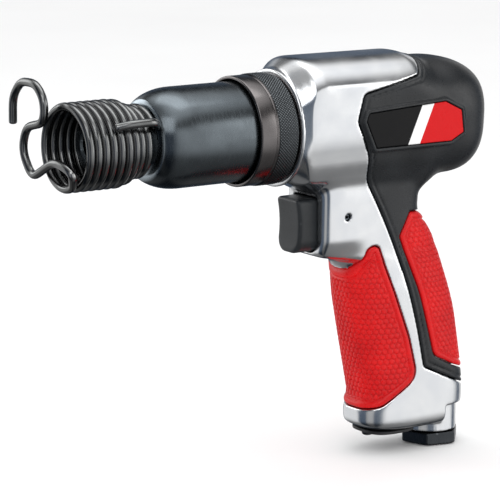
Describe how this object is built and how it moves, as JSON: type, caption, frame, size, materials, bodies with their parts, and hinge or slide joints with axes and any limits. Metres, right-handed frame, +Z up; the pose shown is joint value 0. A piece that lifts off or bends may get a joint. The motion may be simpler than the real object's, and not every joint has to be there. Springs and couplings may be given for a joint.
{
  "type": "pneumatic chipping hammer",
  "caption": "Pistol-handled pneumatic chipping hammer with a coil-spring chisel retainer, a turning exhaust collar, a push trigger and soft grips.",
  "frame": {"origin": "on the underside of the plate under the foot of the handle, in the tool's middle plane, 10.6 mm in front of the plate's rear edge", "axes": "+X along the barrel's axis from the chisel end towards the back of the tool, +Z up the handle, +Y to the right of a user who holds the tool and faces the work"},
  "size_m": [0.2009, 0.0573, 0.1672],
  "materials": {
    "cast_aluminium": "polished casting",
    "black_steel": "black oxide, satin",
    "spring_steel": "oiled spring wire",
    "bright_steel": "ground steel",
    "grey_moulding": "fine texture",
    "red_grip": "soft, honeycomb texture",
    "black_plastic": "fine texture",
    "label_film": "printed film with plain colour fields",
    "brass": "turned",
    "seal_rubber": "matt"
  },
  "bodies": {
    "hammer_body": {"handle_housing": "cast_aluminium", "rear_cover": "grey_moulding", "front_grip": "red_grip", "rear_grip": "red_grip", "badge_left": "label_film", "badge_right": "label_film", "end_plate": "black_plastic", "end_plate_screw": "black_steel", "barrel": "black_steel", "valve_case_front": "bright_steel", "valve_case_back": "bright_steel", "valve_dowel_pin": "bright_steel", "retaining_spring": "spring_steel", "barrel_o_ring": "seal_rubber", "collar_o_ring": "seal_rubber", "trigger_pin": "bright_steel", "throttle_bush": "brass", "throttle_spring": "spring_steel", "throttle_bush_o_ring": "seal_rubber", "throttle_stem_o_ring": "seal_rubber", "air_inlet_bush": "black_steel", "inlet_o_ring": "seal_rubber", "inlet_strainer": "brass"},
    "trigger_body": {"trigger": "black_plastic"},
    "throttle_valve_body": {"throttle_valve": "bright_steel", "throttle_valve_seal": "seal_rubber"},
    "piston_body": {"piston": "bright_steel"},
    "valve_disc_body": {"valve_disc": "bright_steel"},
    "exhaust_collar_body": {"exhaust_collar": "black_steel"}
  },
  "joints": [
    {"name": "trigger_slide", "type": "slide", "parent": "hammer_body", "child": "trigger_body", "axis": [1, 0, 0], "range_m": [0, 0.004]},
    {"name": "throttle_valve_slide", "type": "slide", "parent": "hammer_body", "child": "throttle_valve_body", "axis": [1, 0, 0], "range_m": [0, 0.004], "deforming": ["throttle_spring"]},
    {"name": "piston_slide", "type": "slide", "parent": "hammer_body", "child": "piston_body", "axis": [-1, 0, 0], "range_m": [0, 0.047]},
    {"name": "valve_disc_slide", "type": "slide", "parent": "hammer_body", "child": "valve_disc_body", "axis": [1, 0, 0], "range_m": [0, 0.0008]},
    {"name": "exhaust_collar_turn", "type": "hinge", "parent": "hammer_body", "child": "exhaust_collar_body", "pos_m": [-0.059, 0, 0.1314], "axis": [1, 0, 0], "continuous": true}
  ],
  "couplings": [
    {"joint": "throttle_valve_slide", "follows": "trigger_slide", "ratio": 1}
  ]
}
